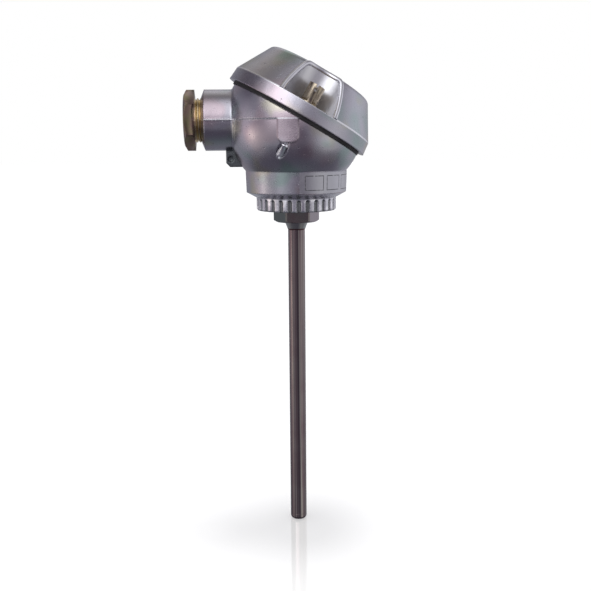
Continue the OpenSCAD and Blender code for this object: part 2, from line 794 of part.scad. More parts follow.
module rtd_element() {
    color("white") translate([0, 0, sheath_end_z + sheath_end]) cylinder(d = element_d, h = element_l);
}

module insert_potting() {
    color("peru") translate([0, 0, flange_top_z])
        cylinder(r = sheath_d / 2 + joint_gap, h = potting_h);
}

module terminal_block() {
    color("ivory") difference() {
        translate([0, 0, flange_top_z]) cylinder(d = block_d, h = block_h);
        translate([0, 0, flange_top_z - cut]) cylinder(d = block_hole_d, h = deep);
        for (side = side_signs) {
            translate([0, side * insert_screw_y, flange_top_z - cut]) cylinder(d = notch_d, h = deep);
            translate([-deep / 2, side * terminal_y - slot_half_w, slot_floor_z])
                cube([deep, 2 * slot_half_w, deep]);
        }
        translate([-terminal_start, -terminal_y, slot_floor_z])
            cube([2 * terminal_start, 2 * terminal_y, deep]);
    }
}

module terminal(i) {
    x = sign_x(i) * terminal_mid_x;
    hole_floor = terminal_h - terminal_screw_reach - cut / 2;
    color("goldenrod") translate([x, sign_y(i) * terminal_y, slot_floor_z]) difference() {
        translate([-terminal_l / 2, -terminal_w / 2, 0]) cube([terminal_l, terminal_w, terminal_h]);
        for (step = [-1, 1]) translate([step * terminal_screw_gap / 2, 0, hole_floor])
            cylinder(d = terminal_screw_d, h = deep);
        translate([sign_x(i) * terminal_l / 2, 0, terminal_h / 2]) rotate([0, 90, 0])
            cylinder(d = wire_hole_d, h = terminal_l - terminal_screw_gap, center = true);
    }
}

// Screws 1 and 2 are on terminal 1, from the middle outwards, 3 and 4 on terminal 2, and so on
module terminal_screw(n) {
    i = ceil(n / 2);
    step = n % 2 == 1 ? -1 : 1;
    x = sign_x(i) * (terminal_mid_x + step * terminal_screw_gap / 2);
    color("gold") translate([x, sign_y(i) * terminal_y, terminal_top_z]) rotate([0, 0, 37 * n])
        slotted_screw(terminal_screw_d, terminal_screw_reach, terminal_head_d, terminal_head_h);
}

// A lead from the potting, up through the block and over to its terminal's inner end
module lead(i) {
    x = lead_pitch / 2;
    turn = atan2(terminal_y - x, terminal_start - x);
    bend_z = terminal_mid_z - lead_bend;
    color("white") intersection() {
        translate([sign_x(i) * x, sign_y(i) * x, 0])
            mirror([sign_x(i) < 0 ? 1 : 0, 0, 0]) mirror([0, sign_y(i) < 0 ? 1 : 0, 0]) rotate([0, 0, turn]) {
                translate([0, 0, potting_top_z]) cylinder(d = lead_d, h = bend_z - potting_top_z);
                translate([lead_bend, 0, bend_z]) rotate([90, 0, 0]) rotate([0, 0, 90])
                    rotate_extrude(angle = 90) translate([lead_bend, 0]) circle(d = lead_d);
                translate([lead_bend, 0, terminal_mid_z]) rotate([0, 90, 0])
                    cylinder(d = lead_d, h = terminal_start * 2);
            }
        translate([-terminal_start, -deep / 2, 0]) cube([2 * terminal_start, deep, deep]);
    }
}

module insert_screw(side) {
    color("silver") translate([0, side * insert_screw_y, insert_head_z])
        slotted_screw(m4_d, insert_head_z - floor_z, m4_head_d, m4_head_h);
}

// A coil spring round an insert screw, between the flange and the screw's head
module insert_spring(side) {
    sides = 8;
    steps = 16 * spring_turns;
    wire_r = spring_wire / 2;
    rise = spring_h - spring_wire;
    ring_points = [for (i = [0 : steps]) for (j = [0 : sides - 1])
        let (turn = 360 * spring_turns * i / steps, around = 360 * j / sides)
        let (r = spring_d / 2 + wire_r * cos(around))
        [r * cos(turn), r * sin(turn), wire_r + rise * i / steps + wire_r * sin(around)]];
    wall_faces = [for (i = [0 : steps - 1]) for (j = [0 : sides - 1])
        let (k = (j + 1) % sides)
        [i * sides + j, i * sides + k, (i + 1) * sides + k, (i + 1) * sides + j]];
    first_face = [[for (j = [sides - 1 : -1 : 0]) j]];
    last_face = [[for (j = [0 : sides - 1]) steps * sides + j]];
    color("silver") translate([0, side * insert_screw_y, flange_top_z])
        polyhedron(ring_points, concat(wall_faces, first_face, last_face));
}

module ground_screw() {
    color("gold") ground_frame() translate([0, 0, ground_washer_t])
        slotted_screw(m4_d, ground_screw_l + ground_washer_t, m4_head_d, m4_head_h);
}

module ground_washer() {
    color("gold") ground_frame() ring(ground_washer_d / 2, m4_d / 2 + thread_gap, ground_washer_t);
}

housing();
lid();
lid_gasket();
pressure_screw();
slip_ring();
cable_seal();
type_label();
fitting();
stem_tube();
stem_tip();
insert_flange();
insert_sheath();
insert_core();
rtd_element();
insert_potting();
terminal_block();
ground_screw();
ground_washer();
for (i = [1 : 4]) {
    terminal(i);
    lead(i);
}
for (n = [1 : 8]) {
    terminal_screw(n);
}
for (k = [0 : 1]) {
    lid_screw(side_signs[k]);
    lid_washer(side_signs[k]);
    insert_screw(side_signs[k]);
    insert_spring(side_signs[k]);
}
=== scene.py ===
import json
import math
import bpy
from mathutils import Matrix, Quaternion, Vector


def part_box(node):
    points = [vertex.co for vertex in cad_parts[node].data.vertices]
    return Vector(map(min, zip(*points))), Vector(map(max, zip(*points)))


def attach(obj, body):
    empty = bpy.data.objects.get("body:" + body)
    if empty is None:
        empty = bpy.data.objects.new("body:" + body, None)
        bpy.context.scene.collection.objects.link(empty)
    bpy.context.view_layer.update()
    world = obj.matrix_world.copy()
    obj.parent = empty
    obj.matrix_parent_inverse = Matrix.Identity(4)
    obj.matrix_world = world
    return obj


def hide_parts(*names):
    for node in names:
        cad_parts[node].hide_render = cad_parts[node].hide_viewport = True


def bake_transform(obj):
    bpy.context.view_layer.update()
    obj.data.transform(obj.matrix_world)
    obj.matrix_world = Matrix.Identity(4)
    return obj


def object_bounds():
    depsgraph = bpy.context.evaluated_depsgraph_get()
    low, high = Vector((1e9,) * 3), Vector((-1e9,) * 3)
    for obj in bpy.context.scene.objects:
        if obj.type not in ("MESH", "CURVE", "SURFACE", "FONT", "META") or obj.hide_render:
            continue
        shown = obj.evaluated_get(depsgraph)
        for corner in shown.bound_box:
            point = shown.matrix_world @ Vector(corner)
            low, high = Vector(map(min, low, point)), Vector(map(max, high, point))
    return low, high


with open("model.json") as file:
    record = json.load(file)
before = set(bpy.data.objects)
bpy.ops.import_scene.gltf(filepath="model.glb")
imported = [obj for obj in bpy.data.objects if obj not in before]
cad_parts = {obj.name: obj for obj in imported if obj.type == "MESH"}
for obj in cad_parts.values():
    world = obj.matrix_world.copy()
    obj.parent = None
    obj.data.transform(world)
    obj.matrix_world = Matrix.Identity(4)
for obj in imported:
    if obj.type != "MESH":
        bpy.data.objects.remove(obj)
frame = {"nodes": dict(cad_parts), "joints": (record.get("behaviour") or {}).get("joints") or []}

cadLow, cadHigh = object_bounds()
nodes = frame["nodes"]
joints = {joint["name"]: joint for joint in frame["joints"]}
mm = 0.001

# places that everything else is worked out from
entryLow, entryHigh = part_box("pressure_screw")
headZ = (entryLow.z + entryHigh.z) / 2                  # height of the cable entry and the parting plane
lidAxis = Vector(joints["lid_lift"]["axis"]).normalized()
lidTilt = math.atan2(lidAxis.x, lidAxis.z)
floorZ = cadLow.z


def only(obj):
    bpy.ops.object.select_all(action="DESELECT")
    obj.select_set(True)
    bpy.context.view_layer.objects.active = obj


def applyModifier(obj, kind, **settings):
    only(obj)
    modifier = obj.modifiers.new(kind.title(), kind)
    for key, value in settings.items():
        setattr(modifier, key, value)
    bpy.ops.object.modifier_apply(modifier=modifier.name)


def mergedCopy(nodeName, newName):
    source = nodes[nodeName]
    piece = bpy.data.objects.new(newName, source.data.copy())
    bpy.context.scene.collection.objects.link(piece)
    only(piece)
    bpy.ops.object.mode_set(mode="EDIT")
    bpy.ops.mesh.select_all(action="SELECT")
    bpy.ops.mesh.remove_doubles(threshold=0.002 * mm)
    bpy.ops.object.mode_set(mode="OBJECT")
    return piece


def bakeInPlace(obj):
    only(obj)
    bpy.ops.object.transform_apply(location=True, rotation=True, scale=True)


def dress(obj, finish):
    obj.data.materials.clear()
    obj.data.materials.append(finish.material)


class Value:
    # an output socket that can be used in sums
    def __init__(self, finish, socket):
        self.finish, self.socket = finish, socket

    def __add__(self, other):
        return self.finish.maths("ADD", self, other)

    def __sub__(self, other):
        return self.finish.maths("SUBTRACT", self, other)

    def __rsub__(self, other):
        return self.finish.maths("SUBTRACT", other, self)

    def __mul__(self, other):
        return self.finish.maths("MULTIPLY", self, other)

    def __truediv__(self, other):
        return self.finish.maths("DIVIDE", self, other)

    def __gt__(self, other):
        return self.finish.maths("GREATER_THAN", self, other)

    def __lt__(self, other):
        return self.finish.maths("LESS_THAN", self, other)

    __radd__ = __add__
    __rmul__ = __mul__


class Finish:
    def __init__(self, name):
        self.material = bpy.data.materials.new(name)
        self.material.use_nodes = True
        self.tree = self.material.node_tree
        self.tree.nodes.clear()
        self.end = self.tree.nodes.new("ShaderNodeOutputMaterial")
        self.place = self.node("ShaderNodeTexCoord", out="Object")

    def node(self, kind, settings=None, inputs=None, out=0):
        made = self.tree.nodes.new(kind)
        for key, value in (settings or {}).items():
            if key == "stops":
                ramp = made.color_ramp
                while len(ramp.elements) < len(value):
                    ramp.elements.new(0.5)
                for element, (position, colour) in zip(ramp.elements, value):
                    element.position, element.color = position, (*colour, 1)
            else:
                setattr(made, key, value)
        for key, value in (inputs or {}).items():
            if isinstance(value, Value):
                self.tree.links.new(value.socket, made.inputs[key])
            else:
                made.inputs[key].default_value = value
        return Value(self, made.outputs[out])

    def maths(self, operation, a, b=0.0):
        return self.node("ShaderNodeMath", {"operation": operation}, {0: a, 1: b})

    def vectorMaths(self, operation, a, b, out=0):
        return self.node("ShaderNodeVectorMath", {"operation": operation}, {0: a, 1: b}, out)

    def blend(self, factor, first, second):
        ends = [c if isinstance(c, Value) else (*c, 1) for c in (first, second)]
        return self.node("ShaderNodeMix", {"data_type": "RGBA"}, {0: factor, 6: ends[0], 7: ends[1]}, 2)

    def noise(self, size, detail=3.0, roughness=0.55, place=None):
        inputs = {"Vector": place or self.place, "Scale": 1 / size}
        inputs.update({"Detail": detail, "Roughness": roughness})
        return self.node("ShaderNodeTexNoise", {}, inputs)

    def step(self, value, low, high, start=0.0, end=1.0):
        inputs = {0: value, 1: low, 2: high, 3: start, 4: end}
        return self.node("ShaderNodeMapRange", {"interpolation_type": "SMOOTHSTEP"}, inputs)

    def roundedEdges(self, radius):
        return self.node("ShaderNodeBevel", {"samples": 6}, {"Radius": radius})

    def bump(self, height, depth, strength=1.0, normal=None):
        inputs = {"Height": height, "Distance": depth, "Strength": strength}
        if normal:
            inputs["Normal"] = normal
        return self.node("ShaderNodeBump", {}, inputs)

    def split(self, vector, axis):
        return self.node("ShaderNodeSeparateXYZ", {}, {0: vector}, axis)

    def surface(self, **inputs):
        named = {key.replace("_", " "): value for key, value in inputs.items()}
        for key, value in named.items():
            if "Color" in key and not isinstance(value, Value):
                named[key] = (*value, 1)
        shader = self.node("ShaderNodeBsdfPrincipled", {}, named)
        self.tree.links.new(shader.socket, self.end.inputs["Surface"])
        return self


castLook = {
    "tone": (0.51, 0.50, 0.55),
    "warm": (0.54, 0.46, 0.50),
    "cool": (0.38, 0.47, 0.45),
    "olive": (0.52, 0.50, 0.40),
    "oliveShift": (0.3, 0.1, 0.2),                       # keeps the olive patches apart from the others
    "pit": (0.22, 0.21, 0.22),
    "patchSize": 24 * mm,
    "roughness": 0.26,
    "smearRoughness": 0.20,
    "pitRoughness": 0.15,
    "grainSize": 0.50 * mm,
    "grainDepth": 0.030 * mm,
    "pitDepth": 0.036 * mm,
    "swellSize": 8 * mm,
    "swellDepth": 0.16 * mm,
}


def castAluminium(name, look, edge, marks):
    # a casting's skin: patches of tarnish, fine grain with a few pits, and a slow swell
    finish = Finish(name)
    patches = finish.noise(look["patchSize"], 2.0)
    shifted = finish.vectorMaths("ADD", finish.place, look["oliveShift"])
    drift = finish.noise(look["patchSize"] * 0.7, 2.0, 0.5, shifted)
    tone = finish.blend(finish.step(patches, 0.50, 0.64), look["tone"], look["warm"])
    tone = finish.blend(finish.step(patches, 0.47, 0.34), tone, look["cool"])
    tone = finish.blend(finish.step(drift, 0.52, 0.66, 0.0, 0.8), tone, look["olive"])
    grain = finish.noise(look["grainSize"], 3.0, 0.6)
    pits = finish.step(finish.noise(look["grainSize"] * 3.1, 2.0), 0.68, 0.76)
    swell = finish.noise(look["swellSize"], 1.0)
    smear = finish.noise(look["patchSize"] * 0.4, 4.0, 0.65)
    tone = finish.blend(pits * 0.35, tone, look["pit"])
    height = grain * look["grainDepth"] + swell * look["swellDepth"] - pits * look["pitDepth"]
    rough = look["roughness"] + (smear - 0.5) * look["smearRoughness"] + pits * look["pitRoughness"]
    # the housing's and the lid's marks also paint highlights and shade into the tone
    tone, rough = marks(finish, tone, rough)
    normal = finish.bump(height, 1.0, 1.0, finish.roundedEdges(edge))
    return finish.surface(Base_Color=tone, Metallic=1.0, Roughness=rough, Normal=normal)


housingLook = {
    "ringLow": 9.4 * mm,
    "ringHigh": 15.4 * mm,
    "ringInside": 15.5 * mm,                             # the ring's outer face lies beyond this radius
    "grooveRadius": 17.75 * mm,
    "crestRadius": 18.45 * mm,
    "groove": (0.22, 0.23, 0.23),
    "crest": (0.66, 0.66, 0.70),
    "rubbedHighlight": (0.96, 0.96, 0.98),
    "rubbedHighlightSize": 4.5 * mm,
    "ringGloss": 0.08,                                   # how much smoother the ring is
    "lugOut": -24.5 * mm,
    "lugTop": 38.0 * mm,
    "lugHalf": 2.2 * mm,
    "lugShade": (0.17, 0.19, 0.19),
    "underCollar": 17.8 * mm,
    "underInside": 17 * mm,
    "underHighlightShare": 0.8,
    "bright": (0.92, 0.92, 0.95),
    "partingHalf": 0.30 * mm,
    "partingHighlightShare": 0.75,
}


def housingMarksAndPaintedLight(finish, tone, rough, look=housingLook):
    # the ring's grooves get painted shade and its crests a painted highlight, lighter still in rubbed
    # patches;
    # the chamfer under the collar and the parting line get a painted highlight, and the lug gets painted
    # shade
    x, y, z = (finish.split(finish.place, axis) for axis in range(3))
    radius = finish.maths("SQRT", x * x + y * y)
    onRing = (z > look["ringLow"]) * (z < look["ringHigh"]) * (radius > look["ringInside"])
    # painted shade in the grooves, rising to a painted highlight on the crests
    crestLight = finish.step(radius, look["grooveRadius"], look["crestRadius"])
    worn = finish.step(finish.noise(look["rubbedHighlightSize"], 1.0), 0.48, 0.62)
    ringShadeAndHighlight = finish.blend(crestLight, look["groove"], finish.blend(worn, look["crest"], look["rubbedHighlight"]))
    tone = finish.blend(onRing, tone, ringShadeAndHighlight)
    rough = rough - onRing * look["ringGloss"]
    # painted highlight on the chamfer under the collar and along the parting line
    under = (z > look["ringHigh"]) * (z < look["underCollar"]) * (radius > look["underInside"])
    parting = (finish.maths("ABSOLUTE", z - headZ) < look["partingHalf"]) * (x < 0.0)
    shine = finish.maths("MAXIMUM", under * look["underHighlightShare"], parting * look["partingHighlightShare"])
    tone = finish.blend(shine, tone, look["bright"])
    # painted shade on the lug
    onLug = (x < look["lugOut"]) * (z < look["lugTop"]) * (finish.maths("ABSOLUTE", y) < look["lugHalf"])
    return finish.blend(onLug, tone, look["lugShade"]), rough


lidLook = {
    "pocketRadius": 12.3 * mm,
    "pocketOut": 33.5 * mm,                              # of a pocket's centre, from the lid's axis
    "rimRise": 7.0 * mm,                                 # of the rim's upper face over the parting plane
    "machinedHighlight": (0.76, 0.76, 0.78),
    "machinedRoughness": 0.36,
    "machinedWall": 0.06 * mm,                           # how far the milling reaches into a pocket's wall
    "machinedFloor": 0.1 * mm,                           # and under its floor
    "rimEdge": 33.6 * mm,
    "rimEdgeHalf": 0.35 * mm,
    "rubbedHighlight": (0.97, 0.97, 1.00),
    "rubbedHighlightShare": 0.75,
    "lipRadius": 1.15 * mm,
    "lipReach": 82,                                      # degrees to each side of a pocket
    "lipStep": 2,                                        # degrees between the lip's points
    "lipSink": 0.75 * mm,
    "lipOut": 0.9,                                       # of the sink, outside the pocket's wall
    "lipDrop": 60 * mm,                                  # height that the lip's points are dropped from
}


def lidMarksAndPaintedLight(finish, tone, rough, look=lidLook):
    # both pockets are lighter than the casting's skin where the milling reaches, partly as painted
    # highlight, and the rim's edge is rubbed and gets a painted highlight
    x, y, z = (finish.split(finish.place, axis) for axis in range(3))
    across = x * math.cos(lidTilt) - (z - headZ) * math.sin(lidTilt)
    aside = finish.maths("ABSOLUTE", y) - look["pocketOut"]
    away = finish.maths("SQRT", across * across + aside * aside)
    rise = x * math.sin(lidTilt) + (z - headZ) * math.cos(lidTilt)
    inPocket = away < look["pocketRadius"] + look["machinedWall"]
    # lighter where the milling reaches, partly a painted highlight
    milledHighlight = inPocket * (rise > look["rimRise"] - look["machinedFloor"])
    tone = finish.blend(milledHighlight, tone, look["machinedHighlight"])
    out = finish.maths("SQRT", across * across + y * y)
    # a painted highlight along the rim's rubbed edge
    offRim = finish.maths("ABSOLUTE", rise - look["rimRise"])
    onEdge = (offRim < look["rimEdgeHalf"]) * (out > look["rimEdge"])
    tone = finish.blend(onEdge * look["rubbedHighlightShare"], tone, look["rubbedHighlight"])
    return tone, rough * (1.0 - milledHighlight) + milledHighlight * look["machinedRoughness"]


turnedLook = {
    "lineSize": 0.35 * mm,
    "lineDepth": 0.010 * mm,
    "lineContrast": 0.5,
    "lineTone": 0.72,                                    # a dark line's tone, as a share of the metal's
    "lineRoughness": 0.14,
    "patchRoughness": 0.12,
}


def turnedMetal(name, tone, stain, roughness, edge=0.2 * mm, streak=(1, 1, 0.02), patch=8 * mm, marks=None,
                look=turnedLook):
    # turned or drawn metal: streaks are long where the scale is small
    finish = Finish(name)
    stretched = finish.vectorMaths("MULTIPLY", finish.place, streak)
    lines = finish.noise(look["lineSize"], 2.0, 0.5, stretched)
    patches = finish.noise(patch, 3.0, 0.6)
    colour = finish.blend(finish.step(patches, 0.40, 0.70), tone, stain)
    dark = tuple(part * look["lineTone"] for part in tone)
    colour = finish.blend((lines - 0.5) * look["lineContrast"] + 0.2, colour, dark)
    rough = roughness + (lines - 0.5) * look["lineRoughness"] + (patches - 0.5) * look["patchRoughness"]
    if marks:
        colour = marks(finish, colour)
    normal = finish.bump(lines * look["lineDepth"], 1.0, 1.0, finish.roundedEdges(edge))
    return finish.surface(Base_Color=colour, Metallic=1.0, Roughness=rough, Normal=normal)


glandLook = {
    "hexFace": -46.0 * mm,                               # the hexagon is beyond this
    "thread": (0.72, 0.58, 0.34),
}


def glandMarks(finish, colour, look=glandLook):
    # the hexagon is tarnished and the thread is still bright
    x = finish.split(finish.place, 0)
    return finish.blend(x > look["hexFace"], colour, look["thread"])


fittingLook = {
    "edgeOut": 5.6 * mm,                                 # of the flat that faces the front
    "edgeHalf": 0.3 * mm,
    # painted shade for the flats left of the front flat, and painted light for those right of it
    "cool": (0.13, 0.155, 0.15),
    "warm": (0.30, 0.27, 0.29),
    "weldTop": 3.75 * mm,
    "weld": (0.44, 0.46, 0.43),
    "weldFootTop": 0.9 * mm,
    "weldFootTone": (0.16, 0.07, 0.07),
}


def fittingShadeAndWeldMarks(finish, colour, look=fittingLook):
    # painted shade on the hexagon's left flats and painted light on its right flats, a lighter weld, and a
    # dark reddish line at the weld's foot
    x, z = finish.split(finish.place, 0), finish.split(finish.place, 2)
    out, half = look["edgeOut"], look["edgeHalf"]
    # painted shade on the left flats
    colour = finish.blend(finish.step(x, -out - half, -out + half), look["cool"], colour)
    # painted light on the right flats
    colour = finish.blend(finish.step(x, out - half, out + half), colour, look["warm"])
    colour = finish.blend(z < look["weldTop"], colour, look["weld"])
    # darker and reddish towards the weld's foot
    return finish.blend(finish.step(z, look["weldFootTop"], look["weldFootTop"] * 0.4), colour, look["weldFootTone"])


platedLook = {
    "pointDrop": 4 * mm,                                 # of the bright ends under the parting plane
    "point": (0.92, 0.93, 0.96),
}


def platedMarks(finish, colour, look=platedLook):
    # the heads are tarnished and the points, which sit inside the casting, are still bright
    z = finish.split(finish.place, 2)
    return finish.blend(z < headZ - look["pointDrop"], colour, look["point"])


stemLook = {
    "bright": (0.46, 0.43, 0.38),
    "dark": (0.15, 0.10, 0.11),
    "streakSize": 0.9 * mm,
    "streak": (1, 1, 0.004),
}


def stemMarks(finish, colour, look=stemLook):
    # long drawing marks, some bright and some dark
    stretched = finish.vectorMaths("MULTIPLY", finish.place, look["streak"])
    marks = finish.noise(look["streakSize"], 2.0, 0.6, stretched)
    colour = finish.blend(finish.step(marks, 0.55, 0.66, 0.0, 0.85), colour, look["bright"])
    return finish.blend(finish.step(marks, 0.48, 0.38, 0.0, 0.8), colour, look["dark"])


def mouldedFinish(name, tone, shade, roughness, grain=0.4 * mm, depth=0.02 * mm, edge=0.2 * mm):
    # rubber, ceramic and resin: a fine grain over broad, faint patches
    finish = Finish(name)
    speck = finish.noise(grain, 3.0, 0.6)
    patches = finish.noise(grain * 14, 3.0, 0.55)
    colour = finish.blend(finish.step(patches, 0.35, 0.70), tone, shade)
    rough = roughness + (speck - 0.5) * 0.2
    normal = finish.bump(speck * depth, 1.0, 1.0, finish.roundedEdges(edge))
    return finish.surface(Base_Color=colour, Roughness=rough, Normal=normal)


labelLook = {
    "foil": (0.50, 0.50, 0.53),
    "line": (0.05, 0.05, 0.06),
    "lineWidth": 0.34 * mm,
    "frames": [(-84, -62), (-58, -38), (-34, 12)],      # from and to, in degrees round the collar
    "margin": 1.3 * mm,
    "wearSize": 0.9 * mm,
    "hazeSize": 4 * mm,
    "hazeDepth": 0.03 * mm,
    "roughness": 0.34,
    "coat": 0.3,
}


def labelFoil(name, look=labelLook):
    # bare foil with worn, empty frames
    finish = Finish(name)
    low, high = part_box("type_label")
    middle, half = (low.z + high.z) / 2, (high.z - low.z) / 2 - look["margin"]
    x, y, z = (finish.split(finish.place, axis) for axis in range(3))
    radius = max(abs(low.y), abs(high.x))
    along = finish.maths("ARCTAN2", y, x) * radius
    up = finish.maths("ABSOLUTE", z - middle)
    ink = None
    for start, stop in look["frames"]:
        centre = math.radians(start + stop) / 2 * radius
        reach = math.radians(stop - start) / 2 * radius
        side = finish.maths("ABSOLUTE", along - centre)
        inside = (side < reach) * (up < half)
        core = (side < reach - look["lineWidth"]) * (up < half - look["lineWidth"])
        frameLine = inside - core
        ink = frameLine if ink is None else finish.maths("MAXIMUM", ink, frameLine)
    wear = finish.step(finish.noise(look["wearSize"], 3.0), 0.30, 0.48)
    colour = finish.blend(ink * wear, look["foil"], look["line"])
    haze = finish.noise(look["hazeSize"], 3.0)
    metal, rough = 1.0 - ink * 0.9, look["roughness"] + (haze - 0.5) * 0.2
    normal = finish.bump(haze * look["hazeDepth"], 1.0)
    return finish.surface(Base_Color=colour, Metallic=metal, Roughness=rough, Coat_Weight=look["coat"],
                          Normal=normal)


castHousingFinish = castAluminium("castAluminium", castLook, 1.0 * mm, housingMarksAndPaintedLight)
castLidFinish = castAluminium("castAluminiumLid", dict(castLook, patchSize=31 * mm), 0.8 * mm, lidMarksAndPaintedLight)
# the lip's milled metal is lightened, partly a painted highlight along the pocket's border
lipHighlightFinish = turnedMetal("milledLipHighlight", (0.84, 0.84, 0.87), (0.76, 0.76, 0.80), 0.20, 0.2 * mm, (1, 1, 1))
glandFinish = turnedMetal("glandBrass", (0.28, 0.19, 0.16), (0.27, 0.25, 0.13), 0.20, 0.3 * mm,
                          (0.05, 1, 1), 5 * mm, glandMarks)
platedFinish = turnedMetal("platedSteel", (0.44, 0.38, 0.29), (0.38, 0.31, 0.23), 0.12, marks=platedMarks)
stemFinish = turnedMetal("stemSteel", (0.24, 0.20, 0.20), (0.20, 0.15, 0.16), 0.15, 0.2 * mm,
                         (1, 1, 0.015), 14 * mm, stemMarks)
fittingFinish = turnedMetal("fittingSteel", (0.26, 0.22, 0.21), (0.24, 0.25, 0.22), 0.22, 0.25 * mm,
                            (1, 1, 0.015), 6 * mm, fittingShadeAndWeldMarks)
insertFinish = turnedMetal("insertSteel", (0.55, 0.54, 0.53), (0.46, 0.45, 0.44), 0.26)
screwFinish = turnedMetal("screwSteel", (0.58, 0.58, 0.58), (0.48, 0.48, 0.49), 0.20)
terminalFinish = turnedMetal("terminalBrass", (0.72, 0.53, 0.24), (0.60, 0.43, 0.20), 0.24)
rubberFinish = mouldedFinish("sealRubber", (0.018, 0.016, 0.018), (0.030, 0.028, 0.030), 0.62)
ceramicFinish = mouldedFinish("blockCeramic", (0.74, 0.70, 0.62), (0.66, 0.61, 0.52), 0.55, 0.5 * mm,
                              0.03 * mm, 0.3 * mm)
fillFinish = mouldedFinish("mineralFill", (0.80, 0.78, 0.73), (0.70, 0.68, 0.64), 0.85, 0.15 * mm)
elementFinish = mouldedFinish("elementCeramic", (0.82, 0.80, 0.76), (0.76, 0.73, 0.68), 0.40)
resinFinish = mouldedFinish("pottingResin", (0.36, 0.16, 0.07), (0.25, 0.10, 0.05), 0.30, 0.8 * mm)
whiteLeadFinish = mouldedFinish("leadWhite", (0.78, 0.76, 0.72), (0.70, 0.67, 0.62), 0.50, 0.3 * mm,
                                0.01 * mm, 0.05 * mm)
redLeadFinish = mouldedFinish("leadRed", (0.55, 0.05, 0.04), (0.42, 0.03, 0.03), 0.50, 0.3 * mm,
                              0.01 * mm, 0.05 * mm)
labelFinish = labelFoil("labelFoil")

nodeFinishes = {
    "housing": castHousingFinish, "lid": castLidFinish, "type_label": labelFinish,
    "lid_gasket": rubberFinish, "cable_seal": rubberFinish,
    "pressure_screw": glandFinish, "slip_ring": glandFinish,
    "fitting": fittingFinish, "stem_tube": stemFinish, "stem_tip": stemFinish,
    "insert_flange": insertFinish, "insert_sheath": insertFinish, "insert_core": fillFinish,
    "rtd_element": elementFinish, "insert_potting": resinFinish, "terminal_block": ceramicFinish,
    "ground_screw": terminalFinish, "ground_washer": terminalFinish,
}
for side in ("front", "back"):
    nodeFinishes["lid_screw_" + side] = platedFinish
    nodeFinishes["lid_washer_" + side] = platedFinish
    nodeFinishes["insert_screw_" + side] = screwFinish
    nodeFinishes["insert_spring_" + side] = screwFinish
for number in range(1, 5):
    nodeFinishes["terminal_%d" % number] = terminalFinish
    nodeFinishes["lead_%d" % number] = redLeadFinish if number < 3 else whiteLeadFinish
for number in range(1, 9):
    nodeFinishes["terminal_screw_%d" % number] = terminalFinish
for name, obj in nodes.items():
    dress(obj, nodeFinishes[name])
print("finishes")


threadLook = {
    "gland": {"crest": 9.9 * mm, "depth": 0.85 * mm, "pitch": 1.5 * mm, "start": 36.3 * mm, "turns": 6.2},
    "lidScrew": {"crest": 1.95 * mm, "depth": 0.38 * mm, "pitch": 0.7 * mm, "start": 5.6 * mm, "turns": 20},
    "screwFoot": -18.4 * mm,                             # a lid screw's lower end, from the parting plane
    "overCrest": 0.25 * mm,                              # how far the cutter stands out of the crest
    "flank": 0.577,                                      # half the groove's width, as a share of its depth
    "stepsPerTurn": 44,
    "smoothAngle": 28,
}


def threadCutter(size):
    # a V-shaped groove wound round Z, closed at both ends
    tip, back = size["crest"] - size["depth"], size["crest"] + threadLook["overCrest"]
    half = (back - tip) * threadLook["flank"]
    bpy.ops.object.select_all(action="DESELECT")
    bpy.ops.mesh.primitive_circle_add(vertices=3, radius=half, location=(0, 0, 0))
    cutter = bpy.context.active_object
    places = ((tip, 0, 0), (back, 0, -half), (back, 0, half))
    for vertex, place in zip(cutter.data.vertices, places):
        vertex.co = place
    steps, length = threadLook["stepsPerTurn"] * int(size["turns"]), size["pitch"] * size["turns"]
    applyModifier(cutter, "SCREW", axis="Z", angle=math.tau * size["turns"], iterations=1, steps=steps,
                  render_steps=steps, screw_offset=length, use_smooth_shade=False)
    only(cutter)
    bpy.ops.object.mode_set(mode="EDIT")
    bpy.ops.mesh.select_all(action="SELECT")
    bpy.ops.mesh.fill_holes(sides=0)
    bpy.ops.mesh.normals_make_consistent(inside=False)
    bpy.ops.object.mode_set(mode="OBJECT")
    return cutter


def threadedCopy(nodeName, newName, size, foot, axis, finish):
    # foot is where the thread's axis starts, and axis is the way that it runs
    piece = mergedCopy(nodeName, newName)
    cutter = threadCutter(size)
    cutter.rotation_mode = "QUATERNION"
    cutter.rotation_quaternion = Vector((0, 0, 1)).rotation_difference(axis)
    cutter.location = foot + axis * size["start"]
    bakeInPlace(cutter)
    applyModifier(piece, "BOOLEAN", operation="DIFFERENCE", solver="EXACT", object=cutter)
    bpy.data.objects.remove(cutter)
    only(piece)
    bpy.ops.object.shade_smooth_by_angle(angle=math.radians(threadLook["smoothAngle"]))
    dress(piece, finish)
    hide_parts(nodeName)
    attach(piece, nodeName)


def lipPath(side, look=lidLook):
    # the pocket's upper edge, found by dropping points onto the lid just outside the pocket's wall
    lid, along = nodes["lid"], Vector((math.cos(lidTilt), 0, -math.sin(lidTilt)))
    radius, path = look["pocketRadius"] + look["lipSink"] * look["lipOut"], []
    for turn in range(-look["lipReach"], look["lipReach"] + 1, look["lipStep"]):
        angle = math.radians(turn)
        place = Vector((0, 0, headZ)) + along * (radius * math.sin(angle))
        place.y = side * (look["pocketOut"] - radius * math.cos(angle))
        found, hit = lid.ray_cast(place + lidAxis * look["lipDrop"], -lidAxis)[:2]
        if found:
            path.append(hit - lidAxis * look["lipSink"])
    return path


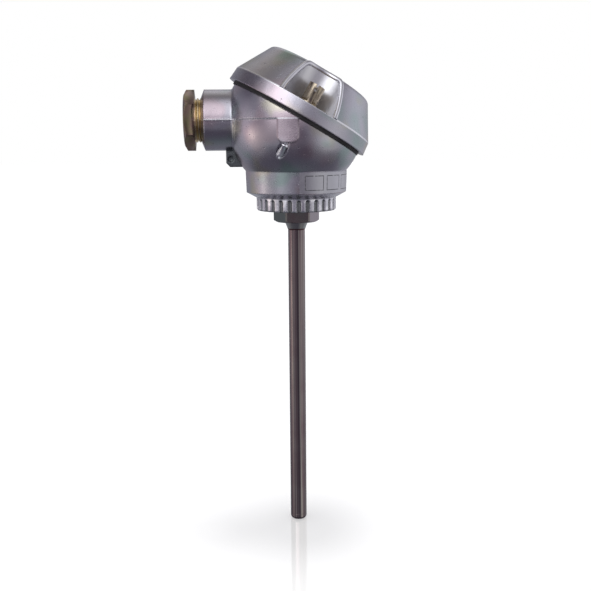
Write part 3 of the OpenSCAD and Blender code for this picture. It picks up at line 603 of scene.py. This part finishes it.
def makePocketLip(name, side, look=lidLook):
    path = lipPath(side)
    bpy.ops.object.select_all(action="DESELECT")
    bpy.ops.mesh.primitive_circle_add(vertices=len(path) + 1, radius=look["pocketRadius"],
                                      location=(0, 0, 0))
    lip = bpy.context.active_object
    lip.name = name
    bpy.ops.object.mode_set(mode="EDIT")
    bpy.ops.mesh.select_mode(type="VERT")
    bpy.ops.mesh.select_all(action="DESELECT")
    bpy.ops.object.mode_set(mode="OBJECT")
    lip.data.vertices[len(path)].select = True
    bpy.ops.object.mode_set(mode="EDIT")
    bpy.ops.mesh.delete(type="VERT")                     # opens the circle, so it has two ends
    bpy.ops.object.mode_set(mode="OBJECT")
    for vertex, place in zip(lip.data.vertices, path):
        vertex.co = place
    only(lip)
    bpy.ops.object.convert(target="CURVE")
    lip.data.bevel_depth, lip.data.bevel_resolution, lip.data.use_fill_caps = look["lipRadius"], 4, True
    bpy.ops.object.convert(target="MESH")
    bpy.ops.object.shade_smooth()
    dress(lip, lipHighlightFinish)
    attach(lip, "lid")


threadedCopy("pressure_screw", "glandScrewThreaded", threadLook["gland"], Vector((0, 0, headZ)),
             Vector((-1, 0, 0)), glandFinish)
for side, way in (("front", -1), ("back", 1)):
    low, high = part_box("lid_screw_" + side)
    foot = Vector((0, (low.y + high.y) / 2, headZ)) + lidAxis * threadLook["screwFoot"]
    threadedCopy("lid_screw_" + side, "lidScrewThreaded" + side.title(), threadLook["lidScrew"], foot,
                 lidAxis, platedFinish)
    makePocketLip("pocketLip" + side.title(), way)
print("threads and lips")


def makeSpringCopy(side):
    # the insert's spring, copied in place of the part with its own finish
    name = "insert_spring_" + side
    spring = mergedCopy(name, "springCoil" + side.title())
    dress(spring, screwFinish)
    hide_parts(name)
    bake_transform(spring)


for side in ("front", "back"):
    makeSpringCopy(side)
print("springs")


stage = {
    "floorTone": (0.80, 0.80, 0.80),
    "floorSize": 12,
    "floorLift": 0.40,                                   # how much the floor is lifted towards white
    "floorShine": 0.36,
    "floorRoughness": 0.06,
    "tentRadius": 5.9,
    "airDiffuse": 0.60,                                  # how much the air lights rough surfaces
}


def makeFloor():
    bpy.ops.mesh.primitive_plane_add(size=stage["floorSize"], location=(0, 0, floorZ))
    floor = bpy.context.active_object
    floor.name = "studioFloor"
    finish = Finish("studioFloor")
    path = finish.node("ShaderNodeLightPath", out="Is Camera Ray")
    paper = finish.node("ShaderNodeBsdfDiffuse", {}, {"Color": (*stage["floorTone"], 1)})
    polish = {"Color": (1, 1, 1, 1), "Roughness": stage["floorRoughness"]}
    shine = finish.node("ShaderNodeBsdfGlossy", {}, polish)
    surface = finish.node("ShaderNodeMixShader", {}, {0: stage["floorShine"], 1: paper, 2: shine})
    glow = {"Color": (1, 1, 1, 1), "Strength": path * stage["floorLift"]}
    lift = finish.node("ShaderNodeEmission", {}, glow)
    both = finish.node("ShaderNodeAddShader", {}, {0: surface, 1: lift})
    finish.tree.links.new(both.socket, finish.end.inputs["Surface"])
    dress(floor, finish)
    floor.visible_glossy = False                         # the metal shows the tent's ground instead


def direction(azimuth, elevation):
    # azimuth 0 is towards the front, -Y, and grows towards +X
    a, e = math.radians(azimuth), math.radians(elevation)
    return Vector((math.sin(a) * math.cos(e), -math.cos(a) * math.cos(e), math.sin(e)))


# the room that the metal shows: its tone from straight down to straight up, as elevation and colour
roomTones = [
    (-90, (0.12, 0.15, 0.16)),
    (-58, (0.10, 0.09, 0.12)),
    (-41, (0.12, 0.11, 0.14)),
    (-27, (0.36, 0.36, 0.40)),
    (-8, (0.50, 0.49, 0.53)),
    (10, (0.47, 0.46, 0.51)),
    (32, (0.28, 0.27, 0.30)),
    (90, (0.10, 0.09, 0.10)),
]
# and the soft panels round it, some of them dark, as azimuth, elevation, tightness, strength and colour
panels = [
    (-27, 25, 16, 1.90, (1.00, 1.00, 1.02)),
    (-4, 56, 11, 0.90, (0.98, 0.98, 1.02)),
    (-47, 41, 30, 0.62, (0.98, 1.00, 1.06)),
    (-8, 21, 60, 0.30, (0.98, 1.00, 1.06)),
    (176, 47, 18, 0.58, (1.00, 1.00, 1.00)),
    (180, -50, 6, 0.18, (0.96, 1.00, 1.04)),
    (-92, -6, 18, 0.24, (1.00, 0.62, 0.74)),
    (108, 8, 8, 0.34, (0.92, 0.94, 1.00)),
    (-146, 60, 14, 0.18, (1.00, 0.92, 0.62)),
    (-80, -17, 26, 0.24, (1.00, 0.98, 0.78)),
    (56, -25, 24, 0.42, (1.00, 0.98, 0.90)),
    (-103, 36, 10, -0.16, (1.00, 1.00, 0.96)),
    (-62, 10, 22, -0.26, (0.98, 1.00, 1.00)),
    (-160, -6, 4, -0.22, (1.00, 0.94, 0.96)),
    (-18, 0, 34, -0.36, (1.00, 1.00, 0.98)),
    (8, -11, 16, -0.36, (0.96, 1.00, 1.00)),
    (62, 12, 40, 0.30, (1.00, 1.00, 1.00)),
    (-84, -12, 260, 1.60, (1.00, 0.96, 0.78)),
]


def makeTent():
    # a large sphere that only mirrors see
    bpy.ops.mesh.primitive_uv_sphere_add(segments=48, ring_count=24, radius=stage["tentRadius"],
                                         location=(0, 0, headZ))
    tent = bpy.context.active_object
    tent.name = "reflectionTent"
    finish = Finish("reflectionTent")
    look = finish.vectorMaths("NORMALIZE", finish.place, (0, 0, 0))
    rise = finish.maths("ARCSINE", finish.split(look, 2)) / math.pi + 0.5
    stops = [((elevation + 90) / 180, tone) for elevation, tone in roomTones]
    colour = finish.node("ShaderNodeValToRGB", {"stops": stops}, {0: rise})
    for azimuth, elevation, tightness, strength, tone in panels:
        facing = finish.vectorMaths("DOT_PRODUCT", look, tuple(direction(azimuth, elevation)), "Value")
        glow = finish.maths("EXPONENT", (facing - 1) * tightness)
        inputs = {0: tone, "Scale": glow * strength}
        lit = finish.node("ShaderNodeVectorMath", {"operation": "SCALE"}, inputs)
        colour = finish.vectorMaths("ADD", colour, lit)
    glowing = finish.node("ShaderNodeEmission", {}, {"Color": colour, "Strength": 1.0})
    finish.tree.links.new(glowing.socket, finish.end.inputs["Surface"])
    dress(tent, finish)
    tent.visible_camera = False
    tent.visible_diffuse = False
    tent.visible_shadow = False
    tent.visible_transmission = False


sunLamp = {"azimuth": 180, "elevation": 86.5, "width": 13, "strength": 1.5}


def makeSun():
    # draws the soft shadow under the part, and mirrors don't see it
    data = bpy.data.lights.new("topSun", "SUN")
    data.angle, data.energy = math.radians(sunLamp["width"]), sunLamp["strength"]
    sun = bpy.data.objects.new("topSun", data)
    bpy.context.scene.collection.objects.link(sun)
    sun.rotation_mode = "QUATERNION"
    away = direction(sunLamp["azimuth"], sunLamp["elevation"])
    sun.rotation_quaternion = (-away).to_track_quat("-Z", "Y")
    sun.visible_glossy = False


def makeWorld():
    # white to the camera and to mirrors, and dimmer as light on rough surfaces
    world = bpy.data.worlds.new("studio")
    bpy.context.scene.world = world
    world.use_nodes = True
    tree = world.node_tree
    tree.nodes.clear()
    path = tree.nodes.new("ShaderNodeLightPath")
    seen = tree.nodes.new("ShaderNodeMath")
    seen.operation, seen.use_clamp = "ADD", True
    mirrored = tree.nodes.new("ShaderNodeMath")
    mirrored.operation, mirrored.use_clamp = "ADD", True
    tree.links.new(path.outputs["Is Glossy Ray"], mirrored.inputs[0])
    tree.links.new(path.outputs["Is Transmission Ray"], mirrored.inputs[1])
    tree.links.new(path.outputs["Is Camera Ray"], seen.inputs[0])
    tree.links.new(mirrored.outputs[0], seen.inputs[1])
    strength = tree.nodes.new("ShaderNodeMapRange")
    strength.inputs["To Min"].default_value = stage["airDiffuse"]
    strength.inputs["To Max"].default_value = 1.0
    tree.links.new(seen.outputs[0], strength.inputs["Value"])
    air = tree.nodes.new("ShaderNodeBackground")
    air.inputs["Color"].default_value = (1, 1, 1, 1)
    tree.links.new(strength.outputs[0], air.inputs["Strength"])
    end = tree.nodes.new("ShaderNodeOutputWorld")
    tree.links.new(air.outputs[0], end.inputs["Surface"])


cameraPlace = {
    "azimuth": -3.5,
    "down": 11.06,
    "distance": 378.7 * mm,                              # from the probe's axis, level
    "below": 8.5 * mm,                                   # under the cable entry's height
    "lens": 48.9,
    "sensor": 36,
    "roll": 0.47,
    "shift": -0.0026,
    "near": 0.01,
    "far": 20,
}


def makeCamera():
    data = bpy.data.cameras.new("camera")
    camera = bpy.data.objects.new("camera", data)
    bpy.context.scene.collection.objects.link(camera)
    spec = cameraPlace
    camera.location = direction(spec["azimuth"], 0) * spec["distance"]
    camera.location.z = headZ - spec["below"]
    look = -direction(spec["azimuth"], spec["down"])
    roll = Quaternion(look, math.radians(spec["roll"]))
    camera.rotation_mode = "QUATERNION"
    camera.rotation_quaternion = roll @ look.to_track_quat("-Z", "Y")
    data.sensor_width, data.lens, data.shift_x = spec["sensor"], spec["lens"], spec["shift"]
    data.clip_start, data.clip_end = spec["near"], spec["far"]
    bpy.context.scene.camera = camera


makeFloor()
makeTent()
makeSun()
makeWorld()
makeCamera()
bpy.context.scene.view_settings.view_transform = "Standard"
print("stage")
